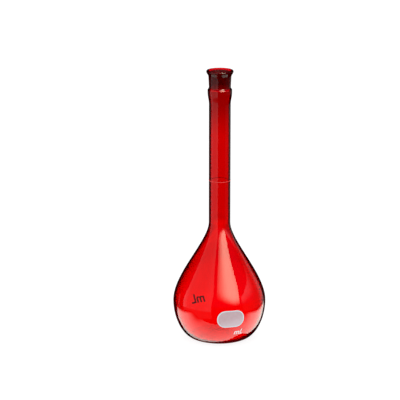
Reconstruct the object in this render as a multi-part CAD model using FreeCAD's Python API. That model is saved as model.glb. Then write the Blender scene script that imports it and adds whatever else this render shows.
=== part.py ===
# Volumetric flask of red stained glass, 250 mL to its ring mark, with an open ground neck.
# Millimetres, +Z up. The origin is the middle of the base, on the surface that the flask stands on.
# The glass is three pieces sealed end to end, and the ring mark and the marking spot are fired enamel.

import FreeCAD
import Part
import os

# Bulb: a flat-bottomed bowl below the equator and a long shoulder above it
BULB_DIAMETER = 78.3
BULB_WALL = 1.79
BULB_HEIGHT = 100.0
EQUATOR_HEIGHT = 31.8
BOWL_BASE_REACH = 7.9
BOWL_SIDE_REACH = 17.0
SHOULDER_REACH = 21.4
THROAT_REACH = 16.1

# Base: a narrow flat ring to stand on, with the middle pushed up
STANDING_RING_DIAMETER = 44.8
STANDING_RING_WIDTH = 3.2
PUSH_UP_HEIGHT = 1.2
PUSH_UP_REACH = 8.0
BASE_WALL = 1.6

# Neck: a plain tube
NECK_DIAMETER = 18.1
NECK_WALL = 1.7
NECK_LENGTH = 101.4

# Ground joint: a bulge above the seal, a tapered ground socket and a flared lip
BULGE_DIAMETER = 20.4
BULGE_RISE = 10.4
BULGE_CREST_LENGTH = 1.8
BULGE_FALL = 2.2
SOCKET_DIAMETER = 16.0
SOCKET_TAPER = 0.1
SOCKET_LENGTH = 13.3
SOCKET_WALL = 1.75
LIP_DIAMETER = 22.6
LIP_FLARE_HEIGHT = 4.2
LIP_CROWN_DIAMETER = 21.4
LIP_CROWN_HEIGHT = 1.0
MOUTH_DIAMETER = 17.6
MOUTH_STEP_HEIGHT = 0.4

# Ring mark: an etched groove filled with enamel that stands a little proud of the neck
MARK_HEIGHT = 136.7
MARK_WIDTH = 0.6
MARK_DEPTH = 0.2
MARK_PROUD = 0.1

# Marking spot: an oblong of matt enamel on the front of the bulb, to write on
SPOT_LENGTH = 23.5
SPOT_WIDTH = 15.7
SPOT_END_RADIUS = 7.2
SPOT_HEIGHT = 26.4
SPOT_TURN = 14.0
SPOT_THICKNESS = 0.25

CUBIC_MM_PER_ML = 1000.0

AXIS_POINT = FreeCAD.Vector(0, 0, 0)
UP = FreeCAD.Vector(0, 0, 1)
OUT = FreeCAD.Vector(1, 0, 0)
FRONT = FreeCAD.Vector(0, -1, 0)
FULL_TURN = 360.0

neck_outside = NECK_DIAMETER / 2
neck_bore = neck_outside - NECK_WALL
joint_seal = BULB_HEIGHT + NECK_LENGTH
crest_low = joint_seal + BULGE_RISE
crest_high = crest_low + BULGE_CREST_LENGTH
socket_foot = crest_high + BULGE_FALL
socket_mouth = socket_foot + SOCKET_LENGTH
lip_top = socket_mouth + LIP_CROWN_HEIGHT


def at(radius, height):
    """A point of a profile, in the plane that is turned round the axis."""
    return FreeCAD.Vector(radius, 0, height)


def line(start, end):
    return Part.LineSegment(start, end).toShape()


def curve(start, start_handle, end_handle, end):
    """A cubic curve that leaves start along start_handle and comes into end along end_handle."""
    bezier = Part.BezierCurve()
    bezier.setPoles([start, start + start_handle, end - end_handle, end])
    return bezier.toShape()


def easing(start, end):
    """An S-shaped curve that leaves and arrives parallel to the axis."""
    handle = UP * ((end.z - start.z) / 3)
    return curve(start, handle, handle, end)


def turned(edges):
    """The solid that a closed profile makes when it is turned round the axis."""
    face = Part.Face(Part.Wire(edges))
    return face.revolve(AXIS_POINT, UP, FULL_TURN)


def bulb_side(wall_at_equator, wall_at_neck, floor_radius, floor_height):
    """One skin of the bulb, from the edge of its floor up to the neck: the bowl and the shoulder."""
    floor_edge = at(floor_radius, floor_height)
    equator = at(BULB_DIAMETER / 2 - wall_at_equator, EQUATOR_HEIGHT)
    neck = at(neck_outside - wall_at_neck, BULB_HEIGHT)
    bowl = curve(floor_edge, OUT * BOWL_BASE_REACH, UP * BOWL_SIDE_REACH, equator)
    shoulder = curve(equator, UP * SHOULDER_REACH, UP * THROAT_REACH, neck)
    return [bowl, shoulder]


def floor_curve(middle_height, edge):
    """One skin of the pushed-up floor, from the axis to the edge, level at both ends."""
    return curve(at(0, middle_height), OUT * PUSH_UP_REACH, OUT * PUSH_UP_REACH, edge)


outer_side = bulb_side(0, 0, STANDING_RING_DIAMETER / 2, 0)
valley_radius = (STANDING_RING_DIAMETER - STANDING_RING_WIDTH) / 2
inner_side = bulb_side(BULB_WALL, NECK_WALL, valley_radius, BASE_WALL)
inner_floor = floor_curve(PUSH_UP_HEIGHT + BASE_WALL, at(valley_radius, BASE_WALL))


def make_bulb():
    """The blown bulb, with its push-up and its standing ring, up to the seal with the neck."""
    ring_inside = STANDING_RING_DIAMETER / 2 - STANDING_RING_WIDTH
    underside = floor_curve(PUSH_UP_HEIGHT, at(ring_inside, 0))
    standing_ring = line(at(ring_inside, 0), at(STANDING_RING_DIAMETER / 2, 0))
    seal = line(at(neck_outside, BULB_HEIGHT), at(neck_bore, BULB_HEIGHT))
    middle = line(at(0, PUSH_UP_HEIGHT + BASE_WALL), at(0, PUSH_UP_HEIGHT))
    inside = list(reversed(inner_side)) + [inner_floor]
    return turned([underside, standing_ring] + outer_side + [seal] + inside + [middle])


def make_neck_tube():
    """The neck, with the groove that the ring mark fills."""
    groove_bottom = neck_outside - MARK_DEPTH
    mark_low = MARK_HEIGHT - MARK_WIDTH / 2
    mark_high = MARK_HEIGHT + MARK_WIDTH / 2
    corners = [
        at(neck_bore, BULB_HEIGHT),
        at(neck_outside, BULB_HEIGHT),
        at(neck_outside, mark_low),
        at(groove_bottom, mark_low),
        at(groove_bottom, mark_high),
        at(neck_outside, mark_high),
        at(neck_outside, joint_seal),
        at(neck_bore, joint_seal),
    ]
    return turned([line(a, b) for a, b in zip(corners, corners[1:] + corners[:1])])


def socket_bore(height):
    """The radius of the ground bore at a height."""
    return SOCKET_DIAMETER / 2 - (socket_mouth - height) * SOCKET_TAPER / 2


def make_ground_joint():
    """The socket for a stopper: its wall follows the taper of the ground bore, up to a flared lip."""
    flare_foot = socket_mouth - LIP_FLARE_HEIGHT
    bulge_outside = BULGE_DIAMETER / 2
    bulge_inside = bulge_outside - SOCKET_WALL
    lip_edge = at(LIP_DIAMETER / 2, socket_mouth)
    crown = at(LIP_CROWN_DIAMETER / 2, lip_top)
    mouth_edge = at(MOUTH_DIAMETER / 2, socket_mouth + MOUTH_STEP_HEIGHT)
    wall_foot = at(socket_bore(socket_foot) + SOCKET_WALL, socket_foot)
    wall_top = at(socket_bore(flare_foot) + SOCKET_WALL, flare_foot)
    bore_foot = at(socket_bore(socket_foot), socket_foot)
    bore_mouth = at(socket_bore(socket_mouth), socket_mouth)
    crown_rise = UP * (LIP_CROWN_HEIGHT / 2)
    crown_inward = OUT * ((lip_edge.x - crown.x) / -2)
    mouth_drop = UP * ((mouth_edge.z - lip_top) / 2)
    outside = [
        easing(at(neck_outside, joint_seal), at(bulge_outside, crest_low)),
        line(at(bulge_outside, crest_low), at(bulge_outside, crest_high)),
        easing(at(bulge_outside, crest_high), wall_foot),
        line(wall_foot, wall_top),
        easing(wall_top, lip_edge),
    ]
    lip = [
        curve(lip_edge, crown_rise, crown_inward, crown),
        curve(crown, crown_inward, mouth_drop, mouth_edge),
    ]
    inside = [
        easing(mouth_edge, bore_mouth),
        line(bore_mouth, bore_foot),
        easing(bore_foot, at(bulge_inside, crest_high)),
        line(at(bulge_inside, crest_high), at(bulge_inside, crest_low)),
        easing(at(bulge_inside, crest_low), at(neck_bore, joint_seal)),
    ]
    seal = line(at(neck_bore, joint_seal), at(neck_outside, joint_seal))
    return turned(outside + lip + inside + [seal])


def make_calibration_ring():
    """The enamel that fills the groove of the ring mark."""
    inside = neck_outside - MARK_DEPTH
    outside = neck_outside + MARK_PROUD
    low = MARK_HEIGHT - MARK_WIDTH / 2
    high = MARK_HEIGHT + MARK_WIDTH / 2
    corners = [at(inside, low), at(outside, low), at(outside, high), at(inside, high)]
    return turned([line(a, b) for a, b in zip(corners, corners[1:] + corners[:1])])


def make_marking_spot():
    """A skin of the bulb's own shape, laid on its outside and trimmed to a rounded oblong."""
    skin_out = [edge.translated(OUT * SPOT_THICKNESS) for edge in outer_side]
    low = outer_side[0].Vertexes[0].Point
    high = outer_side[-1].Vertexes[-1].Point
    foot = line(low + OUT * SPOT_THICKNESS, low)
    head = line(high, high + OUT * SPOT_THICKNESS)
    skin = turned([foot] + outer_side + [head] + list(reversed(skin_out)))

    corner = FreeCAD.Vector(-SPOT_LENGTH / 2, -BULB_DIAMETER, SPOT_HEIGHT - SPOT_WIDTH / 2)
    block = Part.makeBox(SPOT_LENGTH, BULB_DIAMETER, SPOT_WIDTH, corner)
    long_edges = [edge for edge in block.Edges if abs(edge.Curve.Direction.dot(FRONT)) > 0.99]
    cutter = block.makeFillet(SPOT_END_RADIUS, long_edges)
    spot = skin.common(cutter).Solids[0]
    spot.rotate(AXIS_POINT, UP, SPOT_TURN)
    return spot


def capacity_to_mark():
    """What the flask holds up to the middle of its ring mark, in millilitres."""
    column = line(at(neck_bore, BULB_HEIGHT), at(neck_bore, MARK_HEIGHT))
    surface = line(at(neck_bore, MARK_HEIGHT), at(0, MARK_HEIGHT))
    middle = line(at(0, MARK_HEIGHT), at(0, PUSH_UP_HEIGHT + BASE_WALL))
    liquid = turned([inner_floor] + inner_side + [column, surface, middle])
    return abs(liquid.Volume) / CUBIC_MM_PER_ML


def main():
    os.makedirs("parts", exist_ok=True)
    pieces = {
        "bulb": make_bulb(),
        "neck_tube": make_neck_tube(),
        "ground_joint": make_ground_joint(),
        "calibration_ring": make_calibration_ring(),
        "marking_spot": make_marking_spot(),
    }
    for name, shape in pieces.items():
        shape.exportStep("parts/" + name + ".step")
        print(name, "volume", round(shape.Volume, 2), "valid", shape.isValid(), "solids", len(shape.Solids))
    print("height", round(lip_top, 2), "capacity to the mark", round(capacity_to_mark(), 2), "mL")


main()
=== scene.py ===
# %% [markdown]
# # A red glass volumetric flask
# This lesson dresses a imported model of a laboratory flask: a pear-shaped bulb, a long neck with a ring
# mark, and a ground socket for a stopper. The glass is blown in one with its neck, so it becomes one closed
# skin here. The enamel marks are laid on that skin. Everything is in metres, with +Z up and -Y towards the
# front.

# %% Load the frame
import math

import bpy
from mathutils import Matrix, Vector


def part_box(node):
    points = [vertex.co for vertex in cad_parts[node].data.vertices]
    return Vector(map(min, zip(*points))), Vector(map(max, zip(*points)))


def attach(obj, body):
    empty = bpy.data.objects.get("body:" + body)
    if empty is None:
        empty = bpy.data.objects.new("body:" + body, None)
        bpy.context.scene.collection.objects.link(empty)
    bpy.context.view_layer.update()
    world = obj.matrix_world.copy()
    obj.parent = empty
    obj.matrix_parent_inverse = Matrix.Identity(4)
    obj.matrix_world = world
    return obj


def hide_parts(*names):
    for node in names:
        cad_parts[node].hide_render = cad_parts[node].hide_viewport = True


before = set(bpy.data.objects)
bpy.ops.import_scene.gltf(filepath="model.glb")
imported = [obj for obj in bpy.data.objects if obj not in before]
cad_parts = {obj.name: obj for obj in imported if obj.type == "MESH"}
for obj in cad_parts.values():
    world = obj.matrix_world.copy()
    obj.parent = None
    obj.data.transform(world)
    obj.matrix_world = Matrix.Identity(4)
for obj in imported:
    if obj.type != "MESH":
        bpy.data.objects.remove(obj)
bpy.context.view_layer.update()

scene = bpy.context.scene
scene.view_settings.view_transform = "Standard"
print("nodes", sorted(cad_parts))

# %% [markdown]
# ## Sizes
# The frame already knows how large each piece is, so the main sizes are read from its boxes. What a box
# can't tell, such as how thick a wall is or how full a curve is, is written here once, in metres.

# %% Sizes that the frame gives
MM = 0.001

bulb_low, bulb_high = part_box("bulb")
neck_low, neck_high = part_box("neck_tube")
joint_low, joint_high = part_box("ground_joint")
ring_low, ring_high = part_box("calibration_ring")

bulb_radius = bulb_high.x
neck_radius = neck_high.x
lip_radius = joint_high.x
neck_foot = neck_low.z
joint_foot = joint_low.z
lip_top = joint_high.z
print("bulb radius", round(bulb_radius, 5), "neck radius", round(neck_radius, 5))
print("height", round(lip_top, 5))

# %% Sizes of the glass that a box can't tell
BULB_WALL = 1.79 * MM
NECK_WALL = 1.7 * MM
BASE_WALL = 1.6 * MM
EQUATOR_HEIGHT = 31.8 * MM
STANDING_RING_RADIUS = 22.4 * MM
STANDING_RING_WIDTH = 3.2 * MM
PUSH_UP_HEIGHT = 1.2 * MM
PUSH_UP_REACH = 8.0 * MM
BOWL_BASE_REACH = 7.9 * MM
BOWL_SIDE_REACH = 17.0 * MM
SHOULDER_REACH = 21.4 * MM
THROAT_REACH = 16.1 * MM
print("width inside the bulb", round(2 * (bulb_radius - BULB_WALL) / MM, 2), "mm")

# %% Sizes of the ground joint
BULGE_RADIUS = 10.2 * MM
BULGE_RISE = 10.4 * MM
BULGE_CREST_LENGTH = 1.8 * MM
BULGE_FALL = 2.2 * MM
SOCKET_RADIUS = 8.0 * MM
SOCKET_SLOPE = 0.05
SOCKET_WALL = 1.75 * MM
LIP_FLARE_HEIGHT = 4.2 * MM
LIP_CROWN_RADIUS = 10.7 * MM
LIP_CROWN_HEIGHT = 1.0 * MM
MOUTH_RADIUS = 8.8 * MM
MOUTH_STEP_HEIGHT = 0.4 * MM

crest_low = joint_foot + BULGE_RISE
crest_high = crest_low + BULGE_CREST_LENGTH
socket_foot = crest_high + BULGE_FALL
socket_mouth = lip_top - LIP_CROWN_HEIGHT
flare_foot = socket_mouth - LIP_FLARE_HEIGHT
print("ground length", round((socket_mouth - socket_foot) / MM, 2), "mm")

# %% [markdown]
# ## The profile of the glass
# A glass blower turns the flask in the flame, so every level of it is round. In Blender that is a profile
# spun about the axis. The profile could be a chain of vertices, but a Bezier curve needs far fewer points:
# one knot where the shape changes, with handles that say which way the wall runs there and how full the
# curve is. The curve goes up the outside, over the lip and down the inside, so that the spun skin has a
# real wall.

# %% Knots of a profile
def knot(radius, height, arrive=None, leave=None):
    """A knot of the profile. Handles are (out, up) along the way of travel, or None on a straight side."""
    return Vector((radius, 0, height)), arrive, leave


def eased(start_height, end_height):
    """The handle of an S-shaped curve that starts and ends parallel to the axis."""
    return 0, (end_height - start_height) / 3


def socket_bore(height):
    """The radius of the tapered bore at a height."""
    return SOCKET_RADIUS - (socket_mouth - height) * SOCKET_SLOPE


# %% Outside of the bulb and the neck
ring_inside = STANDING_RING_RADIUS - STANDING_RING_WIDTH
bulge_rise = eased(joint_foot, crest_low)
bulge_fall = eased(crest_high, socket_foot)
lip_flare = eased(flare_foot, socket_mouth)

outside_knots = [
    knot(0, PUSH_UP_HEIGHT, leave=(PUSH_UP_REACH, 0)),
    knot(ring_inside, 0, arrive=(PUSH_UP_REACH, 0)),
    knot(STANDING_RING_RADIUS, 0, leave=(BOWL_BASE_REACH, 0)),
    knot(bulb_radius, EQUATOR_HEIGHT, arrive=(0, BOWL_SIDE_REACH), leave=(0, SHOULDER_REACH)),
    knot(neck_radius, neck_foot, arrive=(0, THROAT_REACH)),
    knot(neck_radius, joint_foot, leave=bulge_rise),
    knot(BULGE_RADIUS, crest_low, arrive=bulge_rise),
    knot(BULGE_RADIUS, crest_high, leave=bulge_fall),
    knot(socket_bore(socket_foot) + SOCKET_WALL, socket_foot, arrive=bulge_fall),
    knot(socket_bore(flare_foot) + SOCKET_WALL, flare_foot, leave=lip_flare),
]
print("outside knots", len(outside_knots))

# %% Lip and mouth
mouth_height = socket_mouth + MOUTH_STEP_HEIGHT
crown_inward = ((LIP_CROWN_RADIUS - lip_radius) / 2, 0)
mouth_drop = (0, (mouth_height - lip_top) / 2)
mouth_step = eased(mouth_height, socket_mouth)

lip_knots = [
    knot(lip_radius, socket_mouth, arrive=lip_flare, leave=(0, LIP_CROWN_HEIGHT / 2)),
    knot(LIP_CROWN_RADIUS, lip_top, arrive=crown_inward, leave=crown_inward),
    knot(MOUTH_RADIUS, mouth_height, arrive=mouth_drop, leave=mouth_step),
    knot(SOCKET_RADIUS, socket_mouth, arrive=mouth_step),
]
print("lip knots", len(lip_knots))

# %% Inside, from the socket down to the floor
bulge_inside = BULGE_RADIUS - SOCKET_WALL
neck_bore = neck_radius - NECK_WALL
inside_rise = eased(socket_foot, crest_high)
inside_fall = eased(crest_low, joint_foot)
valley_radius = STANDING_RING_RADIUS - STANDING_RING_WIDTH / 2

inside_knots = [
    knot(socket_bore(socket_foot), socket_foot, leave=inside_rise),
    knot(bulge_inside, crest_high, arrive=inside_rise),
    knot(bulge_inside, crest_low, leave=inside_fall),
    knot(neck_bore, joint_foot, arrive=inside_fall),
    knot(neck_bore, neck_foot, leave=(0, -THROAT_REACH)),
    knot(bulb_radius - BULB_WALL, EQUATOR_HEIGHT, arrive=(0, -SHOULDER_REACH), leave=(0, -BOWL_SIDE_REACH)),
    knot(valley_radius, BASE_WALL, arrive=(-BOWL_BASE_REACH, 0), leave=(-PUSH_UP_REACH, 0)),
    knot(0, PUSH_UP_HEIGHT + BASE_WALL, arrive=(-PUSH_UP_REACH, 0)),
]
profile_knots = outside_knots + lip_knots + inside_knots
print("profile knots", len(profile_knots))

# %% [markdown]
# ## Spinning the glass
# A Bezier curve is added, given the knots, and made a mesh of edges. The spin tool then turns those edges
# round the axis. The last step of a full spin lands on the first, and the ends on the axis land on
# themselves, so the doubles are merged. Only then are the normals recalculated, because glass with a face
# turned the wrong way bends light the wrong way.

# %% Helpers for working on one object
CURVE_STEPS = 24
SPIN_STEPS = 240
MERGE_DISTANCE = 0.001 * MM


def deselect_all():
    if bpy.context.object and bpy.context.object.mode != "OBJECT":
        bpy.ops.object.mode_set(mode="OBJECT")
    bpy.ops.object.select_all(action="DESELECT")


def pick(piece):
    """Makes one object the only selected one, and the active one."""
    deselect_all()
    piece.select_set(True)
    bpy.context.view_layer.objects.active = piece


def begin_edit(piece):
    """Opens one object in edit mode with all of its mesh selected."""
    pick(piece)
    bpy.ops.object.mode_set(mode="EDIT")
    bpy.ops.mesh.select_all(action="SELECT")


def end_edit():
    bpy.ops.object.mode_set(mode="OBJECT")


def name_new(name):
    """Names the object that an operator has just added."""
    piece = bpy.context.object
    piece.name = name
    piece.data.name = name
    return piece


def spin_round(piece):
    """Turns a profile round the axis into a closed skin, and points its faces outwards."""
    begin_edit(piece)
    bpy.ops.mesh.spin(steps=SPIN_STEPS, angle=2 * math.pi, center=(0, 0, 0), axis=(0, 0, 1))
    bpy.ops.mesh.select_all(action="SELECT")
    bpy.ops.mesh.remove_doubles(threshold=MERGE_DISTANCE)
    bpy.ops.mesh.normals_make_consistent(inside=False)
    end_edit()


# %% Drawing a profile from its knots
def set_handle(point, side, kind, place):
    """Sets the kind of one handle of a point, and its place where it is free."""
    setattr(point, "handle_" + side + "_type", kind)
    if kind == "FREE":
        setattr(point, "handle_" + side, place)


def draw_profile(name, knots):
    """A Bezier curve through the knots, made a mesh of edges."""
    deselect_all()
    bpy.ops.curve.primitive_bezier_curve_add()
    profile = name_new(name)
    profile.data.dimensions = "3D"
    profile.data.resolution_u = CURVE_STEPS
    points = profile.data.splines[0].bezier_points
    points.add(len(knots) - len(points))
    for point, (place, arrive, leave) in zip(points, knots):
        point.co = place
        for side, handle, way in (("left", arrive, -1), ("right", leave, 1)):
            reach = Vector((handle[0], 0, handle[1])) if handle else Vector()
            set_handle(point, side, "FREE" if handle else "VECTOR", place + reach * way)
    bpy.ops.object.convert(target="MESH")
    return bpy.context.object


# %% Draw the profile of the glass and spin it
flask_glass = draw_profile("flask_glass", profile_knots)
print("profile vertices", len(flask_glass.data.vertices))
spin_round(flask_glass)
bpy.ops.object.shade_smooth()
print("glass faces", len(flask_glass.data.polygons))

# %% [markdown]
# ## The ring mark
# On the real flask a thin line is etched round the neck and filled with enamel. A torus would be quick to
# add, but its section is a circle, and enamel that fills a groove has flat sides. So the section is a small
# plane with rounded outer corners, spun like the glass. It sits in the glass by the depth of the etching,
# and stands proud by a tenth of a millimetre.

# %% Ring mark
MARK_DEPTH = 0.2 * MM
MARK_ROUNDING = 0.08 * MM
MARK_ROUNDING_STEPS = 3
MARK_CREASE = math.radians(50)

ring_radius = ring_high.x
ring_inner = neck_radius - MARK_DEPTH
ring_middle = Vector(((ring_radius + ring_inner) / 2, 0, (ring_low.z + ring_high.z) / 2))

deselect_all()
bpy.ops.mesh.primitive_plane_add(size=1, location=ring_middle, rotation=(math.pi / 2, 0, 0))
ring_mark = name_new("ring_mark")
ring_mark.scale = (ring_radius - ring_inner, ring_high.z - ring_low.z, 1)
bpy.ops.object.transform_apply(location=True, rotation=True, scale=True)
for vertex in ring_mark.data.vertices:
    vertex.select = vertex.co.x > ring_middle.x
bpy.ops.object.mode_set(mode="EDIT")
bpy.ops.mesh.select_mode(type="VERT")
bpy.ops.mesh.bevel(offset=MARK_ROUNDING, segments=MARK_ROUNDING_STEPS, affect="VERTICES")
bpy.ops.mesh.select_all(action="SELECT")
bpy.ops.mesh.delete(type="ONLY_FACE")
end_edit()
spin_round(ring_mark)
bpy.ops.object.shade_smooth_by_angle(angle=MARK_CREASE)
print("ring mark faces", len(ring_mark.data.polygons))

# %% [markdown]
# ## Enamel laid on the bulb
# The marking spot is a flat printed oblong that was laid on the curved glass and fired. It could be copied
# from faces of the bulb, but then its edge would have steps. So it is made flat, as it was printed, in front
# of the bulb: a plane with rounded corners and rings of inset faces. A Shrinkwrap modifier then projects it
# onto the glass, a Solidify modifier gives the enamel its thickness, and it is turned to its place. The
# outermost edge of real enamel is too thin to see, so the piece is a little smaller than its solid.

# %% Laying a flat piece on the glass
ENAMEL_SINK = 0.05 * MM


def apply_modifiers(piece):
    pick(piece)
    for modifier in list(piece.modifiers):
        bpy.ops.object.modifier_apply(modifier=modifier.name)


def lay_on_glass(piece, thickness):
    """Projects a flat piece backwards onto the front of the glass and gives it a thickness there."""
    wrap = piece.modifiers.new("lay", "SHRINKWRAP")
    wrap.target = flask_glass
    wrap.wrap_method = "PROJECT"
    wrap.use_project_y = True
    wrap.use_positive_direction = True
    wrap.use_negative_direction = False
    wall = piece.modifiers.new("thicken", "SOLIDIFY")
    wall.thickness = thickness + ENAMEL_SINK
    wall.offset = (thickness - ENAMEL_SINK) / (thickness + ENAMEL_SINK)
    apply_modifiers(piece)


def turn_to(piece, azimuth):
    """Turns a piece about the axis, from the front towards +X, and keeps the turn in its mesh."""
    pick(piece)
    piece.rotation_euler.z = math.radians(azimuth)
    bpy.ops.object.transform_apply(location=True, rotation=True, scale=True)


# %% Marking spot
SPOT_LENGTH = 22.9 * MM
SPOT_WIDTH = 14.8 * MM
SPOT_END_RADIUS = 6.95 * MM
SPOT_HEIGHT = 26.4 * MM
SPOT_AZIMUTH = 14.0
SPOT_THICKNESS = 0.2 * MM
SPOT_RIM_WIDTH = 0.8 * MM
SPOT_CORNER_STEPS = 14
SPOT_STRAIGHT_CUTS = 8
SPOT_INSETS = 5
SPOT_CREASE = math.radians(40)

in_front = -2 * bulb_radius

deselect_all()
bpy.ops.mesh.primitive_plane_add(size=1, location=(0, in_front, SPOT_HEIGHT), rotation=(math.pi / 2, 0, 0))
marking_spot = name_new("marking_spot_enamel")
marking_spot.scale = (SPOT_LENGTH, SPOT_WIDTH, 1)
bpy.ops.object.transform_apply(location=True, rotation=True, scale=True)
begin_edit(marking_spot)
bpy.ops.mesh.bevel(offset=SPOT_END_RADIUS, segments=SPOT_CORNER_STEPS, affect="VERTICES")
end_edit()
print("corners of the spot", len(marking_spot.data.vertices))

# %% Rings of faces in the spot
LONG_EDGE_SHARE = 0.9

straight_length = (SPOT_LENGTH - 2 * SPOT_END_RADIUS) * LONG_EDGE_SHARE
spot_mesh = marking_spot.data
for edge in spot_mesh.edges:
    first, second = (spot_mesh.vertices[index].co for index in edge.vertices)
    edge.select = (first - second).length > straight_length
for polygon in spot_mesh.polygons:
    polygon.select = False
for vertex in spot_mesh.vertices:
    vertex.select = False
bpy.ops.object.mode_set(mode="EDIT")
bpy.ops.mesh.select_mode(type="EDGE")
bpy.ops.mesh.subdivide(number_cuts=SPOT_STRAIGHT_CUTS)
bpy.ops.mesh.select_mode(type="FACE")
bpy.ops.mesh.select_all(action="SELECT")
bpy.ops.mesh.inset(thickness=SPOT_RIM_WIDTH)
inset_step = (SPOT_WIDTH / 2 - SPOT_RIM_WIDTH) / (SPOT_INSETS + 1)
for _ in range(SPOT_INSETS):
    bpy.ops.mesh.inset(thickness=inset_step)
end_edit()
lay_on_glass(marking_spot, SPOT_THICKNESS)
turn_to(marking_spot, SPOT_AZIMUTH)
bpy.ops.object.shade_smooth_by_angle(angle=SPOT_CREASE)
print("spot faces", len(marking_spot.data.polygons))

# %% [markdown]
# ## Unit signs
# Flasks carry the sign of their unit in white enamel. A picture could be wrapped on the glass, but enamel
# has a thickness and an underside. So the sign is a text object, slanted as the printed one is, made a mesh
# and laid on the glass like the spot. One is on the front. The other is on the back, and reads the right way
# round from behind, so from the front it shows through the glass as a mirror image.

# %% Unit signs
SIGN_THICKNESS = 0.08 * MM
SIGN_CUTS = 2
SIGN_SLANT = 0.2


def unit_sign(name, letter_size, stroke, azimuth, height):
    """The unit sign laid on the glass: the size of its letters, how bold they are, and its place."""
    deselect_all()
    bpy.ops.object.text_add(location=(0, in_front, height), rotation=(math.pi / 2, 0, 0))
    sign = name_new(name)
    sign.data.body = "mL"
    sign.data.size = letter_size
    sign.data.shear = SIGN_SLANT
    sign.data.offset = stroke
    sign.data.align_x = "CENTER"
    sign.data.align_y = "CENTER"
    bpy.ops.object.convert(target="MESH")
    sign = bpy.context.object
    bpy.ops.object.transform_apply(location=True, rotation=True, scale=True)
    begin_edit(sign)
    bpy.ops.mesh.remove_doubles(threshold=MERGE_DISTANCE)
    bpy.ops.mesh.quads_convert_to_tris()
    bpy.ops.mesh.subdivide(number_cuts=SIGN_CUTS)
    end_edit()
    lay_on_glass(sign, SIGN_THICKNESS)
    turn_to(sign, azimuth)
    print(name, "faces", len(sign.data.polygons))
    return sign


front_sign = unit_sign(
    "unit_sign_front", letter_size=6.6 * MM, stroke=0.10 * MM, azimuth=26.0, height=13.4 * MM)
back_sign = unit_sign(
    "unit_sign_back", letter_size=11.2 * MM, stroke=0.20 * MM, azimuth=209.3, height=21.5 * MM)

# %% [markdown]
# ## Building materials from nodes
# A few small helpers keep the node trees readable: one adds a node, one puts a value or a link on a socket,
# and one does a sum. A value that is the same all over goes straight onto the shader's own socket.

# %% Nodes and sums
def add_node(tree, kind, **settings):
    node = tree.nodes.new("ShaderNode" + kind)
    for name, value in settings.items():
        setattr(node, name, value)
    return node


def feed(tree, socket, value):
    """Puts a number or a colour on a socket, or links another socket to it."""
    if isinstance(value, bpy.types.NodeSocket):
        tree.links.new(value, socket)
    else:
        socket.default_value = value


def calc(tree, operation, *values):
    """The result of a sum of numbers and sockets."""
    node = add_node(tree, "Math", operation=operation)
    for socket, value in zip(node.inputs, values):
        feed(tree, socket, value)
    return node.outputs[0]


def rise(tree, value, start, end):
    """Goes smoothly from 0 to 1 as a value goes from start to end, in either direction."""
    node = add_node(tree, "MapRange", interpolation_type="SMOOTHSTEP")
    feed(tree, node.inputs["Value"], value)
    feed(tree, node.inputs["From Min"], start)
    feed(tree, node.inputs["From Max"], end)
    return node.outputs["Result"]


# %% Materials and textures
DRIFT_LOW = 0.35
DRIFT_HIGH = 0.65


def new_material(name):
    material = bpy.data.materials.new(name)
    material.use_nodes = True
    tree = material.node_tree
    return material, tree, tree.nodes["Principled BSDF"]


def noise(tree, scale, detail, roughness=0.5):
    """Noise in the piece's own coordinates, so many grains to the metre."""
    place = add_node(tree, "TexCoord")
    grain = add_node(tree, "TexNoise")
    grain.inputs["Scale"].default_value = scale
    grain.inputs["Detail"].default_value = detail
    grain.inputs["Roughness"].default_value = roughness
    tree.links.new(place.outputs["Object"], grain.inputs["Vector"])
    return grain.outputs["Fac"]


def place_on(tree):
    """X, Y and Z of a place on a piece or a card."""
    parts = add_node(tree, "SeparateXYZ")
    tree.links.new(add_node(tree, "TexCoord").outputs["Object"], parts.inputs[0])
    return parts.outputs["X"], parts.outputs["Y"], parts.outputs["Z"]


def colour_between(tree, factor, low, high):
    """A colour that goes from low to high over the middle of a factor's range, where noise mostly lies."""
    ramp = add_node(tree, "ValToRGB")
    ramp.color_ramp.elements[0].position = DRIFT_LOW
    ramp.color_ramp.elements[1].position = DRIFT_HIGH
    ramp.color_ramp.elements[0].color = (*low, 1)
    ramp.color_ramp.elements[1].color = (*high, 1)
    tree.links.new(factor, ramp.inputs["Fac"])
    return ramp.outputs["Color"]


def bump(tree, height, distance, strength):
    node = add_node(tree, "Bump")
    node.inputs["Distance"].default_value = distance
    node.inputs["Strength"].default_value = strength
    tree.links.new(height, node.inputs["Height"])
    return node.outputs["Normal"]


# %% [markdown]
# ## Red glass
# The red is a stain fired into the skin of the glass, so each time light passes a surface it is filtered. A
# volume that takes up light would colour the whole wall instead. The base colour of a transmitting
# Principled shader acts at the surface, as the stain does. The stain is never quite even, so a broad soft
# noise shifts it a little.

# %% Clear red glass
GLASS_IOR = 1.47
STAIN_LIGHT = (0.98, 0.004, 0.014)
STAIN_DEEP = (0.95, 0.003, 0.010)


def make_clear_glass():
    material, tree, shader = new_material("red_glass_clear")
    stain = noise(tree, scale=45, detail=2)
    feed(tree, shader.inputs["Base Color"], colour_between(tree, stain, STAIN_DEEP, STAIN_LIGHT))
    shader.inputs["Roughness"].default_value = 0.0
    shader.inputs["IOR"].default_value = GLASS_IOR
    shader.inputs["Transmission Weight"].default_value = 1.0
    return material


# %% [markdown]
# ## Ground glass
# The socket is ground matt, so that a stopper seals in it. The scratches could be modelled, but they are
# far smaller than a pixel. A rough surface with a fine bump does the same to light: it blurs what shows
# through. A deep base colour takes away the light that the scratches throw aside. Only the faces of the
# tapered bore get this finish, and they are picked by how far they are from the axis.

# %% Ground glass
GROUND_ROUGHNESS = 0.3
GROUND_GRIT = 0.02 * MM
GROUND_CLEAR = 0.9
GROUND_LIGHT = (0.26, 0.004, 0.006)
GROUND_DEEP = (0.10, 0.002, 0.003)


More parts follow.
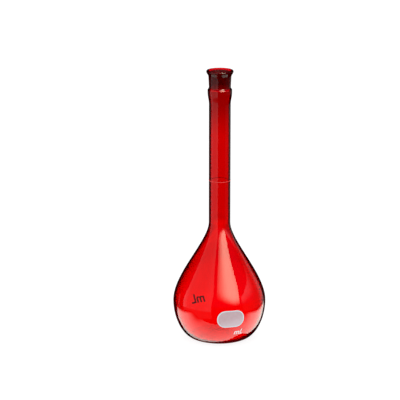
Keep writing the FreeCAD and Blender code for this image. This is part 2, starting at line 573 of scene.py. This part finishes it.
def make_ground_glass():
    """The inside of the socket, ground matt: it blurs what shows through it and loses much of the light."""
    material, tree, shader = new_material("red_glass_ground")
    haze = noise(tree, scale=900, detail=3)
    grit = noise(tree, scale=6000, detail=3, roughness=0.7)
    feed(tree, shader.inputs["Base Color"], colour_between(tree, haze, GROUND_DEEP, GROUND_LIGHT))
    feed(tree, shader.inputs["Normal"], bump(tree, grit, GROUND_GRIT, strength=0.5))
    shader.inputs["Roughness"].default_value = GROUND_ROUGHNESS
    shader.inputs["IOR"].default_value = GLASS_IOR
    shader.inputs["Transmission Weight"].default_value = GROUND_CLEAR
    return material


# %% Put the two finishes on the glass
flask_glass.data.materials.append(make_clear_glass())
flask_glass.data.materials.append(make_ground_glass())
ground_faces = 0
for polygon in flask_glass.data.polygons:
    centre = polygon.center
    radius = math.hypot(centre.x, centre.y)
    on_bore = abs(radius - socket_bore(centre.z)) < SOCKET_WALL / 2
    if socket_foot < centre.z < socket_mouth and on_bore:
        polygon.material_index = 1
        ground_faces += 1
print("ground faces", ground_faces)

# %% [markdown]
# ## Enamels
# Fired enamel is a little uneven: its colour drifts, and its surface has a fine tooth that takes a pencil.
# One noise mixes two near colours, and a finer noise is a bump. The ring mark is thin and half clear, so it
# takes on some red from the glass behind it. The signs are white on the outside. Through the glass their
# underside shows, where no light falls, so the faces that look inwards get painted shade: a dark copy of
# the white enamel.

# %% Enamel that drifts in colour
FINE_TOOTH = 0.01 * MM
COARSE_TOOTH = 0.02 * MM


def patchy(tree):
    """A drift of patches a few millimetres wide."""
    return noise(tree, scale=420, detail=4)


def make_enamel(name, low, high, roughness, tooth, drift=patchy):
    """An enamel between two colours that follow a drift, with a tooth of a given depth."""
    material, tree, shader = new_material(name)
    grain = noise(tree, scale=5200, detail=3)
    feed(tree, shader.inputs["Base Color"], colour_between(tree, drift(tree), low, high))
    feed(tree, shader.inputs["Normal"], bump(tree, grain, tooth, strength=0.4))
    shader.inputs["Roughness"].default_value = roughness
    return material


# %% Enamel of the ring mark
RING_CLEAR = 0.5
RING_IOR = 1.1

# Partly painted light: the enamel is half clear, so real red light comes through it, and its base colour is
# also painted red for that same light from the glass behind the mark.
ring_enamel = make_enamel(
    "ring_enamel_fired", low=(0.94, 0.09, 0.08), high=(0.98, 0.12, 0.11), roughness=0.4, tooth=FINE_TOOTH)
ring_shader = ring_enamel.node_tree.nodes["Principled BSDF"]
ring_shader.inputs["Transmission Weight"].default_value = RING_CLEAR
ring_shader.inputs["IOR"].default_value = RING_IOR
ring_mark.data.materials.append(ring_enamel)
print("finish of the ring mark", ring_enamel.name)

# %% Enamel of the signs
sign_white = make_enamel(
    "sign_enamel_white", low=(0.80, 0.78, 0.78), high=(0.86, 0.84, 0.84), roughness=0.5, tooth=FINE_TOOTH)
# Painted shade: the faces that look inwards get a dark copy of the white enamel, where no light falls.
sign_painted_shade = make_enamel(
    "sign_enamel_painted_shade", low=(0.14, 0.06, 0.06), high=(0.18, 0.08, 0.08),
    roughness=0.5, tooth=FINE_TOOTH)
for sign in (front_sign, back_sign):
    sign.data.materials.append(sign_white)
    sign.data.materials.append(sign_painted_shade)
    for polygon in sign.data.polygons:
        polygon.material_index = 1 if polygon.normal.dot(polygon.center) < 0 else 0
    print(sign.name, "faces underneath", sum(polygon.material_index for polygon in sign.data.polygons))

# %% [markdown]
# ## Finish of the spot
# The spot has a grey field that takes a pencil, and a paler bluish rim, whose colour is a painted highlight
# along the edge of the print. The field is paler towards the lower right: that is painted light, as from
# the table below. The rim could be painted by a texture, but the first inset has already made a ring of
# faces as wide as the rim, so they get a material of their own.

# %% Field of the spot
# Painted light: the field is made paler towards the lower right, as if lit from the table below.
PAINTED_LIGHT_ASIDE = 0.35
PAINTED_LIGHT_START = -0.2
PAINTED_LIGHT_END = 0.8
PAINTED_LIGHT_SHARE = 0.27
PATCH_SHARE = 0.25


def patches_and_painted_light(tree):
    """A little patchy, and paler towards the lower right, which is painted light from the table below."""
    low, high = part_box("marking_spot")
    middle = (low + high) / 2
    reach = (high - low) / 2
    x, _, z = place_on(tree)
    down = calc(tree, "DIVIDE", calc(tree, "SUBTRACT", middle.z, z), reach.z)
    aside = calc(tree, "DIVIDE", calc(tree, "SUBTRACT", x, middle.x), reach.x)
    lower_right = calc(tree, "MULTIPLY_ADD", aside, PAINTED_LIGHT_ASIDE, down)
    painted_light = rise(tree, lower_right, PAINTED_LIGHT_START, PAINTED_LIGHT_END)
    patches = calc(tree, "MULTIPLY_ADD", patchy(tree), PATCH_SHARE, PATCH_SHARE)
    return calc(tree, "MULTIPLY_ADD", painted_light, PAINTED_LIGHT_SHARE, patches)


spot_field = make_enamel(
    "spot_enamel_matt", low=(0.50, 0.365, 0.395), high=(0.58, 0.485, 0.525),
    roughness=0.75, tooth=COARSE_TOOTH, drift=patches_and_painted_light)
marking_spot.data.materials.append(spot_field)
print("finish of the spot", spot_field.name)

# %% Rim of the spot
RIM_SHARE = 0.95

spot_turn = math.radians(SPOT_AZIMUTH)


def rim_distance(place):
    """How far a place on the spot is from its edge, measured flat as it was printed."""
    across = abs(place.x * math.cos(spot_turn) + place.y * math.sin(spot_turn))
    up = abs(place.z - SPOT_HEIGHT)
    past_side = max(across - SPOT_LENGTH / 2 + SPOT_END_RADIUS, 0)
    past_top = max(up - SPOT_WIDTH / 2 + SPOT_END_RADIUS, 0)
    if past_side and past_top:
        return SPOT_END_RADIUS - math.hypot(past_side, past_top)
    return min(SPOT_LENGTH / 2 - across, SPOT_WIDTH / 2 - up)


# The rim's pale bluish colour is a painted highlight along the edge of the print.
spot_rim_painted_highlight = make_enamel(
    "spot_enamel_rim_painted_highlight", low=(0.52, 0.69, 0.73), high=(0.60, 0.77, 0.80), roughness=0.6, tooth=COARSE_TOOTH)
marking_spot.data.materials.append(spot_rim_painted_highlight)
for polygon in marking_spot.data.polygons:
    polygon.material_index = 1 if rim_distance(polygon.center) < SPOT_RIM_WIDTH * RIM_SHARE else 0
print("rim faces", sum(polygon.material_index for polygon in marking_spot.data.polygons))

# %% [markdown]
# ## Where each piece belongs
# Every piece rides on the one body of the flask. The spun glass stands for the three lengths of glass that
# are sealed end to end.

# %% Ride and replace
pieces = (flask_glass, ring_mark, marking_spot, front_sign, back_sign)
for piece in pieces:
    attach(piece, "root")
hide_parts("bulb", "neck_tube", "ground_joint")
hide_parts("calibration_ring")
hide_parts("marking_spot")
print("pieces", [piece.name for piece in pieces])

# %% [markdown]
# ## Cards around the flask
# Clear glass has no look of its own: it shows the room. Photographers stand white boards beside it and lay
# white paper in front of it, and the glass reflects them as pale bands with sharp edges. A card here is a
# strip of faces that glows. It is part of the stage and not of the flask, so its points go straight into a
# mesh, in millimetres. Only reflections see it, or only light that comes through the glass, so it lights
# nothing else.

# %% Making a card
def glowing(name, colour, strength=0.0):
    """A material that only glows."""
    material, tree, shader = new_material(name)
    shader.inputs["Base Color"].default_value = (0, 0, 0, 1)
    shader.inputs["Specular IOR Level"].default_value = 0.0
    shader.inputs["Emission Color"].default_value = (*colour, 1)
    shader.inputs["Emission Strength"].default_value = strength
    return material


def set_glow(material, strength):
    """Gives a glowing material a strength that changes from place to place."""
    tree = material.node_tree
    feed(tree, tree.nodes["Principled BSDF"].inputs["Emission Strength"], strength)


def strip_card(name, pairs, material, through_glass=False):
    """A card from pairs of points in millimetres, each pair joined to the next by a face."""
    places = [Vector(place) * MM for pair in pairs for place in pair]
    faces = [(2 * step, 2 * step + 1, 2 * step + 3, 2 * step + 2) for step in range(len(pairs) - 1)]
    mesh = bpy.data.meshes.new(name)
    mesh.from_pydata(places, [], faces)
    card = bpy.data.objects.new(name, mesh)
    scene.collection.objects.link(card)
    card.data.materials.append(material)
    card.visible_camera = False
    card.visible_diffuse = False
    card.visible_shadow = False
    card.visible_glossy = not through_glass
    card.visible_transmission = through_glass
    print("card", card.name, "faces", len(card.data.polygons))


# %% Places round the flask
def around(azimuth, radius, height):
    """A point round the flask, with its azimuth counted from the front towards +X."""
    return radius * math.sin(math.radians(azimuth)), -radius * math.cos(math.radians(azimuth)), height


def arc(start, end, steps):
    """Azimuths from start to end."""
    return [start + (end - start) * step / steps for step in range(steps + 1)]


def azimuth_of(tree, x, y):
    """The azimuth of a direction in degrees, counted from the front towards +X."""
    return calc(tree, "DEGREES", calc(tree, "ARCTAN2", x, calc(tree, "MULTIPLY", y, -1)))


def rise_mm(tree, length, start, end):
    """Goes smoothly from 0 to 1 as a length goes from start to end, in millimetres."""
    return rise(tree, length, start * MM, end * MM)


# %% [markdown]
# ## White board at the left
# A tall white board stands round the left side, and the neck and the bulb reflect it as a broad pale band.
# One plain arc would give that band straight edges, but the real ones lean a little. So the board has rows,
# each with a left and a right azimuth of its own. It glows more at its left edge, most of all low down, and
# a little more in front.

# %% Glow of the board
WHITE = (1, 1, 1)
BOARD_GLOW = 0.45
BOARD_LEFT_EDGE = (-82, -97)
BOARD_LEFT_GLOW = 0.12
BOARD_LOW_PART = (260, 150)
BOARD_LOW_GLOW = 0.3
BOARD_FRONT_EDGE = (-44, -28)
BOARD_FRONT_GLOW = 0.12


def board_glow(tree):
    x, y, z = place_on(tree)
    azimuth = azimuth_of(tree, x, y)
    low_down = rise_mm(tree, z, *BOARD_LOW_PART)
    left_glow = calc(tree, "MULTIPLY_ADD", low_down, BOARD_LOW_GLOW, BOARD_LEFT_GLOW)
    front_glow = calc(tree, "MULTIPLY", rise(tree, azimuth, *BOARD_FRONT_EDGE), BOARD_FRONT_GLOW)
    glow = calc(tree, "MULTIPLY_ADD", rise(tree, azimuth, *BOARD_LEFT_EDGE), left_glow, BOARD_GLOW)
    return calc(tree, "ADD", glow, front_glow)


board_white = glowing("white_board", WHITE)
set_glow(board_white, board_glow(board_white.node_tree))
print("nodes of the board's glow", len(board_white.node_tree.nodes))

# %% Rows of the board: a height, and the azimuths of its left and right edge
BOARD_RADIUS = 600.0
BOARD_STEPS = 24
BOARD_ROWS = (
    (-89, -98.5, -20.0), (110, -98.5, -20.0), (215, -95.5, -18.2), (300, -95.5, -17.0),
    (500, -97.0, -17.3), (560, -97.5, -19.5), (620, -98.0, -21.5), (900, -98.5, -21.0),
)

for (low, low_left, low_right), (high, high_left, high_right) in zip(BOARD_ROWS, BOARD_ROWS[1:]):
    low_azimuths = arc(low_left, low_right, BOARD_STEPS)
    high_azimuths = arc(high_left, high_right, BOARD_STEPS)
    strip_card("white_board", [
        (around(below, BOARD_RADIUS, low), around(above, BOARD_RADIUS, high))
        for below, above in zip(low_azimuths, high_azimuths)
    ], board_white)

# %% [markdown]
# ## White paper in front
# White paper lies on the table in front of the flask and round its sides, and shows in the lower bulb as a
# pale band. The back edge of the paper draws the upper edge of that band, so the card is given as points
# along that edge. Its glow fades towards the two ends, and painted shade dims it towards the front, though
# less in the middle.
#
# Where the glass curves away it mirrors the paper at a flat angle, and from some sides that would eat into
# the dark line round the bulb. Such light comes by a longer way than light that goes straight to the bulb.
# So the paper compares the length of each ray with the straight way, and glows only for the short ones.

# %% Light that comes by the short way
BULB_FOOT_REACH = 24.5
SHORTEST_BEYOND_FOOT = 1.0
SHORT_WAY = 0.88
EDGE_WAY = 1.11
EDGE_WAY_NEAR = 20.7
EDGE_WAY_SOFT = 0.04


def short_way(tree, x, y):
    """1 for light that comes to the bulb by the short way, and 0 for the long way along its edge."""
    across = calc(tree, "SQRT", calc(tree, "MULTIPLY_ADD", x, x, calc(tree, "MULTIPLY", y, y)))
    beyond_foot = calc(tree, "SUBTRACT", across, BULB_FOOT_REACH * MM)
    beyond_foot = calc(tree, "MAXIMUM", beyond_foot, SHORTEST_BEYOND_FOOT * MM)
    straight = calc(tree, "MULTIPLY", beyond_foot, SHORT_WAY)
    way = calc(tree, "DIVIDE", add_node(tree, "LightPath").outputs["Ray Length"], straight)
    edge_way = calc(tree, "ADD", calc(tree, "DIVIDE", EDGE_WAY_NEAR * MM, across), EDGE_WAY)
    return rise(tree, calc(tree, "SUBTRACT", way, edge_way), EDGE_WAY_SOFT, -EDGE_WAY_SOFT)


# %% Glow of the paper
PAPER_COLOUR = (1.0, 0.98, 0.9)
PAPER_LEFT_GLOW = 2.75
PAPER_RIGHT_GLOW = 3.3
PAPER_RIGHTWARDS = (-30, 40)
# Painted shade dims the paper towards its front, less so in the middle.
PAPER_FRONT_SHADE = (-62, -21)
PAPER_LEAST_IN_SHADE = 0.4
PAPER_MIDDLE = (58, 32)
PAPER_ENDS = (110, 85)
PAPER_WIDENING = 0.22


def paper_shade_and_ends(tree, x, y):
    """1 on most of the paper, less towards its front, where shade is painted, and less towards its two ends.
    """
    in_middle = rise_mm(tree, calc(tree, "ABSOLUTE", x), *PAPER_MIDDLE)
    least = calc(tree, "MULTIPLY", in_middle, PAPER_LEAST_IN_SHADE)
    out_of_shade = rise_mm(tree, y, *PAPER_FRONT_SHADE)
    out_of_shade = calc(tree, "MULTIPLY_ADD", out_of_shade, calc(tree, "SUBTRACT", 1, least), least)
    widening = calc(tree, "MULTIPLY", calc(tree, "MAXIMUM", y, 0), PAPER_WIDENING)
    to_right = calc(tree, "SUBTRACT", x, widening)
    to_left = calc(tree, "MULTIPLY", x, -1)
    inside_ends = rise_mm(tree, calc(tree, "MAXIMUM", to_right, to_left), *PAPER_ENDS)
    return calc(tree, "MULTIPLY", out_of_shade, inside_ends)


def paper_glow(tree):
    x, y, _ = place_on(tree)
    rightwards = rise_mm(tree, x, *PAPER_RIGHTWARDS)
    glow = calc(tree, "MULTIPLY_ADD", rightwards, PAPER_RIGHT_GLOW - PAPER_LEFT_GLOW, PAPER_LEFT_GLOW)
    glow = calc(tree, "MULTIPLY", glow, paper_shade_and_ends(tree, x, y))
    return calc(tree, "MULTIPLY", glow, short_way(tree, x, y))


# %% The paper, from its straight front to points along its back edge
PAPER_FRONT = -62.5
PAPER_BACK = (
    (-118, 50), (-104, 47), (-97, 43), (-91, 38.5), (-60, 16.5), (-53, 8.5), (-44, -1.3), (-36, -8.3),
    (-22, -19.6), (-11, -25.8), (0, -29.0), (12, -30.4), (18, -31.0), (27, -28.5), (30, -19.5), (37, -10.5),
    (52, 11.5), (75, 48), (92, 70), (104, 84), (125, 104),
)

paper_white = glowing("white_paper", PAPER_COLOUR)
set_glow(paper_white, paper_glow(paper_white.node_tree))
strip_card("white_paper", [((x, PAPER_FRONT, 0), (x, back, 0)) for x, back in PAPER_BACK], paper_white)

# %% [markdown]
# ## Paper further out
# The flare under the lip shows two small pale glints: paper that lies further out on the table, left and
# right. The bulb shows none of it. The socket is far higher than the bulb, so its rays to the table are
# longer. A card that is clear to short rays is therefore seen from the socket alone.

# %% Far paper that only the socket sees
FAR_PAPER_NEAR = 80.0
FAR_PAPER_FAR = 225.0
FAR_PAPER_STEPS = 10
FAR_PAPER_HEIGHT = 0.1
FAR_PAPER_SIDES = (("left", -116, -44, 1.0), ("right", 32, 108, 1.15))
LONGEST_FROM_BULB = 224
SHORTEST_FROM_SOCKET = 234

for side, start, end, glow in FAR_PAPER_SIDES:
    far_white = glowing("far_paper_" + side, PAPER_COLOUR, glow)
    far_tree = far_white.node_tree
    far_way = add_node(far_tree, "LightPath").outputs["Ray Length"]
    from_socket = rise_mm(far_tree, far_way, LONGEST_FROM_BULB, SHORTEST_FROM_SOCKET)
    feed(far_tree, far_tree.nodes["Principled BSDF"].inputs["Alpha"], from_socket)
    strip_card("far_paper_" + side, [
        (around(turn, FAR_PAPER_NEAR, FAR_PAPER_HEIGHT), around(turn, FAR_PAPER_FAR, FAR_PAPER_HEIGHT))
        for turn in arc(start, end, FAR_PAPER_STEPS)
    ], far_white)

# %% [markdown]
# ## The white sheet that shows through the glass
# Through the glass the camera sees a white table and a white sheet that stands round it. The sheet is
# bright at its foot and dim higher up, so the red is light in the bulb and deep in the neck. Light that is
# thrown back inside the wall of the glass has been on a long way through the stain, so it is nearly lost.
# That loss is what draws the dark line along every edge: the line is as wide as the wall is thick.

# %% Light that comes through the glass
THROWN_BACK_LOSS = 0.92
ONE_WALL = 3
ALL_WALLS = 99


def straight_through(tree, passes):
    """1 for light that comes straight through, and little for light thrown back within so many passes."""
    path = add_node(tree, "LightPath")
    thrown_back = calc(tree, "GREATER_THAN", path.outputs["Glossy Depth"], 0)
    few_passes = calc(tree, "LESS_THAN", path.outputs["Transmission Depth"], passes)
    return calc(tree, "MULTIPLY_ADD", calc(tree, "MULTIPLY", thrown_back, few_passes), -THROWN_BACK_LOSS, 1)


def height_on_card(tree):
    return place_on(tree)[2]


def distance_on_card(tree):
    length = add_node(tree, "VectorMath", operation="LENGTH")
    tree.links.new(add_node(tree, "TexCoord").outputs["Object"], length.inputs[0])
    return length.outputs["Value"]


# %% Material of a card behind the glass
def backing(name, measure, stops, passes):
    """A glow that is read from stops of (millimetres, glow) along a height or a distance."""
    material = glowing(name, WHITE)
    tree = material.node_tree
    brightest = max(glow for _, glow in stops)
    longest = stops[-1][0]
    ramp = add_node(tree, "ValToRGB")
    for _ in stops[2:]:
        ramp.color_ramp.elements.new(1.0)
    for element, (where, glow) in zip(ramp.color_ramp.elements, stops):
        share = glow / brightest
        element.position = where / longest
        element.color = (share, share, share, 1)
    tree.links.new(calc(tree, "DIVIDE", measure(tree), longest * MM), ramp.inputs["Fac"])
    strength = calc(tree, "MULTIPLY", ramp.outputs["Color"], brightest)
    set_glow(material, calc(tree, "MULTIPLY", strength, straight_through(tree, passes)))
    return material


# %% The table and the sheet round it
TABLE_RADIUS = 300.0
TABLE_STEPS = 48
UNDER_BASE = -0.2
SHEET_TOP = 700.0
TABLE_GLOW = ((0, 1.13), (100, 1.13), (160, 1.07), (215, 1.0), (245, 0.89), (300, 0.92))
SHEET_GLOW = (
    (0, 1.0), (12, 1.0), (22, 0.66), (80, 0.66), (104, 0.68),
    (117, 0.535), (127, 0.405), (137, 0.345), (200, 0.3), (240, 0.14),
)

table_pairs = []
sheet_pairs = []
for turn in arc(-180, 180, TABLE_STEPS):
    table_edge = around(turn, TABLE_RADIUS, UNDER_BASE)
    table_pairs.append(((0, 0, UNDER_BASE), table_edge))
    sheet_pairs.append((table_edge, around(turn, TABLE_RADIUS, SHEET_TOP)))
table_white = backing("table_white", distance_on_card, TABLE_GLOW, ALL_WALLS)
sheet_white = backing("sheet_white", height_on_card, SHEET_GLOW, ONE_WALL)
strip_card("table_white", table_pairs, table_white, through_glass=True)
strip_card("sheet_white", sheet_pairs, sheet_white, through_glass=True)

# %% [markdown]
# ## The room
# Beyond the cards is the world. A picture of a studio could be wrapped round it, but here its light is
# worked out from the direction of a ray: the azimuth from the front towards +X, and the elevation. So each
# light is a patch between two azimuths and two elevations, with soft edges, and can be moved by changing a
# number.

# %% Directions in the room
world = bpy.data.worlds.new("studio")
scene.world = world
world.use_nodes = True
room = world.node_tree

direction = add_node(room, "SeparateXYZ")
room.links.new(add_node(room, "TexCoord").outputs["Generated"], direction.inputs[0])
azimuth = azimuth_of(room, direction.outputs["X"], direction.outputs["Y"])
elevation = calc(room, "DEGREES", calc(room, "ARCSINE", direction.outputs["Z"]))
print("world", world.name)


# %% Sums for patches of light
def between(value, low, high, soft):
    """1 where a value lies between two limits, with soft edges."""
    above = rise(room, value, calc(room, "SUBTRACT", low, soft), calc(room, "ADD", low, soft))
    below = rise(room, value, calc(room, "ADD", high, soft), calc(room, "SUBTRACT", high, soft))
    return calc(room, "MULTIPLY", above, below)


def share_of(value, start, end, amount):
    """An amount that comes in smoothly as a value goes from start to end."""
    return calc(room, "MULTIPLY", rise(room, value, start, end), amount)


def add_up(*values):
    total = values[0]
    for value in values[1:]:
        total = calc(room, "ADD", total, value)
    return total


def product(*values):
    total = values[0]
    for value in values[1:]:
        total = calc(room, "MULTIPLY", total, value)
    return total


def patch(sides, side_soft, heights, height_soft, glow):
    """Light between two azimuths and two elevations."""
    return product(between(azimuth, *sides, side_soft), between(elevation, *heights, height_soft), glow)


# %% [markdown]
# ## Softbox
# The brightest band on the bulb is a large softbox at the right of the camera. An area light would be an
# even rectangle with sharp edges. A patch of the world can be uneven, as a softbox is: its lamp is right of
# its middle, so it is brightest there, and it hangs tilted, so its foot slopes down to the right and fades
# out.

# %% Outline of the softbox
SOFTBOX_LEFT = -7.5
SOFTBOX_RIGHT = 52.0
SOFTBOX_WIDENS = (12, 36)
SOFTBOX_WIDER = 5.7
SOFTBOX_SIDE_SOFT = 1.5
SOFTBOX_TOP = (73, 67)
SOFTBOX_FOOT = 26.5
SOFTBOX_FOOT_SLOPE = -0.38
SOFTBOX_FOOT_LOWEST = 12.5
SOFTBOX_FOOT_SOFT = 9.5

softbox_right = calc(room, "ADD", share_of(elevation, *SOFTBOX_WIDENS, SOFTBOX_WIDER), SOFTBOX_RIGHT)
softbox_width = between(azimuth, SOFTBOX_LEFT, softbox_right, SOFTBOX_SIDE_SOFT)
sloping_foot = calc(room, "MULTIPLY_ADD", azimuth, SOFTBOX_FOOT_SLOPE, SOFTBOX_FOOT)
softbox_foot = calc(room, "MAXIMUM", sloping_foot, SOFTBOX_FOOT_LOWEST)
over_foot = calc(room, "SUBTRACT", elevation, softbox_foot)
above_foot = rise(room, over_foot, -SOFTBOX_FOOT_SOFT, SOFTBOX_FOOT_SOFT)
softbox_height = product(above_foot, rise(room, elevation, *SOFTBOX_TOP))
print("softbox from azimuth", SOFTBOX_LEFT, "to", SOFTBOX_RIGHT)

# %% Glow of the softbox
SOFTBOX_GLOW = 1.0
SOFTBOX_LAMP = (-12, 30)
SOFTBOX_LAMP_GLOW = 6.2
SOFTBOX_EDGE = (44, 56)
SOFTBOX_EDGE_LOSS = -1.6

lamp_glow = share_of(azimuth, *SOFTBOX_LAMP, SOFTBOX_LAMP_GLOW)
edge_loss = share_of(azimuth, *SOFTBOX_EDGE, SOFTBOX_EDGE_LOSS)
softbox_glow = add_up(SOFTBOX_GLOW, lamp_glow, edge_loss)
softbox = product(softbox_width, softbox_height, softbox_glow)
print("glow of the softbox, at most", SOFTBOX_GLOW + SOFTBOX_LAMP_GLOW)

# %% [markdown]
# ## What else the glass reflects
# A pale wall stands far back at the right, brightest in a band under its top. A narrow streak shows at the
# edge of the glass on each side, and a dim table at the left. The rest of the room in front is nearly dark,
# with a trace of blue that takes the edge off the pure red.

# %% Wall at the right
WALL_SIDES = (59, 118)
WALL_SIDE_SOFT = 2
WALL_TOP = 17
WALL_TOP_RISES = (60, 80)
WALL_TOP_RISE = 4
WALL_TOP_EDGE = (1.5, 0)
WALL_BAND = (-14, -2)
WALL_BAND_FADES = (116, 78)
WALL_BAND_GLOW = 0.68
WALL_FOOT = (-18, -15)
WALL_FOOT_GLOW = 0.06

wall_top = calc(room, "ADD", share_of(azimuth, *WALL_TOP_RISES, WALL_TOP_RISE), WALL_TOP)
over_top = calc(room, "SUBTRACT", elevation, wall_top)
under_top = rise(room, over_top, *WALL_TOP_EDGE)
band_fade = rise(room, azimuth, *WALL_BAND_FADES)
wall_band = product(rise(room, over_top, *WALL_BAND), under_top, band_fade, WALL_BAND_GLOW)
wall_foot = product(rise(room, elevation, *WALL_FOOT), under_top, WALL_FOOT_GLOW)
right_wall = product(between(azimuth, *WALL_SIDES, WALL_SIDE_SOFT), add_up(wall_band, wall_foot))
print("wall from azimuth", WALL_SIDES[0], "to", WALL_SIDES[1])

# %% Streaks, and a dim table at the left
STREAK_LEAN = 0.35
STREAK_COMES = (113, 133)
STREAK_ENDS = (143, 135)
STREAK_HEIGHTS = (-15, 16)
STREAK_HEIGHT_SOFT = 3
STREAK_GLOW = 0.45

leaning = calc(room, "MULTIPLY_ADD", elevation, STREAK_LEAN, azimuth)
streak_height = between(elevation, *STREAK_HEIGHTS, STREAK_HEIGHT_SOFT)
right_streak = product(
    rise(room, azimuth, *STREAK_COMES), rise(room, leaning, *STREAK_ENDS), streak_height, STREAK_GLOW)
left_streak = patch(sides=(-124, -118), side_soft=1, heights=(-19, -1), height_soft=4, glow=0.2)
left_table = patch(sides=(-101, -20), side_soft=2, heights=(-30, 0), height_soft=2, glow=0.15)
reflected_room = add_up(right_wall, right_streak, left_streak, left_table)
print("right streak from elevation", STREAK_HEIGHTS[0], "to", STREAK_HEIGHTS[1])

# %% The dim room in front
DIM_ROOM_COLOUR = (0.010, 0.010, 0.085, 1)
DIM_ROOM_REACH = 100.0
DIM_ROOM_SOFT = 20.0
DIM_ROOM_FOOT = (-2, 8)

dim_room_sides = between(azimuth, -DIM_ROOM_REACH, DIM_ROOM_REACH, DIM_ROOM_SOFT)
dim_room = product(dim_room_sides, rise(room, elevation, *DIM_ROOM_FOOT))
print("dim room to azimuth", DIM_ROOM_REACH, "on each side")

# %% [markdown]
# ## What each kind of ray sees
# Only reflections see the softbox, the wall and the dim room. Light that comes through the glass above the
# sheet sees a dark grey. What the camera sees directly is plain white, and what lights the enamel is an
# even white, so that its colours come out as they are written.

# %% Choose a light for each kind of ray
EVEN_LIGHT = 1.0
BACKGROUND_WHITE = 1.0
ABOVE_SHEET = 0.1

ray = add_node(room, "LightPath")


def choose(kind, otherwise, chosen):
    """The chosen light for one kind of ray, and the other light for the rest."""
    node = add_node(room, "Mix", data_type="FLOAT")
    room.links.new(ray.outputs[kind], node.inputs["Factor"])
    feed(room, node.inputs["A"], otherwise)
    feed(room, node.inputs["B"], chosen)
    return node.outputs["Result"]


def only_reflected(light):
    """A light that reflections see, and nothing else."""
    return choose("Is Transmission Ray", choose("Is Glossy Ray", 0.0, light), 0.0)


light = choose("Is Glossy Ray", EVEN_LIGHT, reflected_room)
light = choose("Is Transmission Ray", light, product(straight_through(room, ONE_WALL), ABOVE_SHEET))
light = choose("Is Camera Ray", light, BACKGROUND_WHITE)
print("nodes of the room so far", len(room.nodes))

# %% Add the lights together
SOFTBOX_COLOUR = (1.0, 1.0, 0.75, 1)


def add_light(shader, strength, colour):
    """Adds a light of the room to the others."""
    background = add_node(room, "Background")
    feed(room, background.inputs["Strength"], strength)
    feed(room, background.inputs["Color"], colour)
    both = add_node(room, "AddShader")
    room.links.new(shader, both.inputs[0])
    room.links.new(background.outputs[0], both.inputs[1])
    return both.outputs[0]


walls = room.nodes["Background"]
walls.inputs["Color"].default_value = (*WHITE, 1)
room.links.new(light, walls.inputs["Strength"])
together = add_light(walls.outputs[0], only_reflected(softbox), SOFTBOX_COLOUR)
together = add_light(together, only_reflected(dim_room), DIM_ROOM_COLOUR)
room.links.new(together, room.nodes["World Output"].inputs["Surface"])
print("world nodes", len(room.nodes))

# %% [markdown]
# ## Floor
# The flask stands on a sheet of white acrylic that glows a little, as a light table does. Most of its white
# is its own glow, and the rest is the light that falls on it, so the flask still leaves a soft shadow where
# it stands.

# %% Floor
FLOOR_SIZE = 8.0
FLOOR_GLOW = 0.87
FLOOR_GREY = 0.25

deselect_all()
bpy.ops.mesh.primitive_plane_add(size=FLOOR_SIZE, location=(0, 0, 0))
floor = name_new("studio_floor")
floor.visible_glossy = False
floor.visible_transmission = False
floor_material, floor_tree, floor_shader = new_material("white_acrylic")
floor_shader.inputs["Base Color"].default_value = (FLOOR_GREY, FLOOR_GREY, FLOOR_GREY, 1)
floor_shader.inputs["Roughness"].default_value = 1.0
floor_shader.inputs["Specular IOR Level"].default_value = 0.0
floor_shader.inputs["Emission Color"].default_value = (*WHITE, 1)
floor_shader.inputs["Emission Strength"].default_value = FLOOR_GLOW
floor.data.materials.append(floor_material)
print("floor", FLOOR_SIZE, "m wide")

# %% [markdown]
# ## Camera
# The photograph looks down on the flask by fifteen degrees, from far away through a long lens, so that its
# upright sides stay nearly parallel. The camera looks at a point a little to the left of the flask.

# %% Camera
LOOK_DOWN = math.radians(15)
LOOK_AT = Vector((-16.45 * MM, 0, 119.2 * MM))
CAMERA_DISTANCE = 1.679
LENS = 180.0

back_off = Vector((0, -math.cos(LOOK_DOWN), math.sin(LOOK_DOWN))) * CAMERA_DISTANCE
deselect_all()
bpy.ops.object.camera_add(location=LOOK_AT + back_off, rotation=(math.pi / 2 - LOOK_DOWN, 0, 0))
camera = name_new("photo_camera")
camera.data.lens = LENS
scene.camera = camera
print("camera at", [round(value, 4) for value in camera.location])
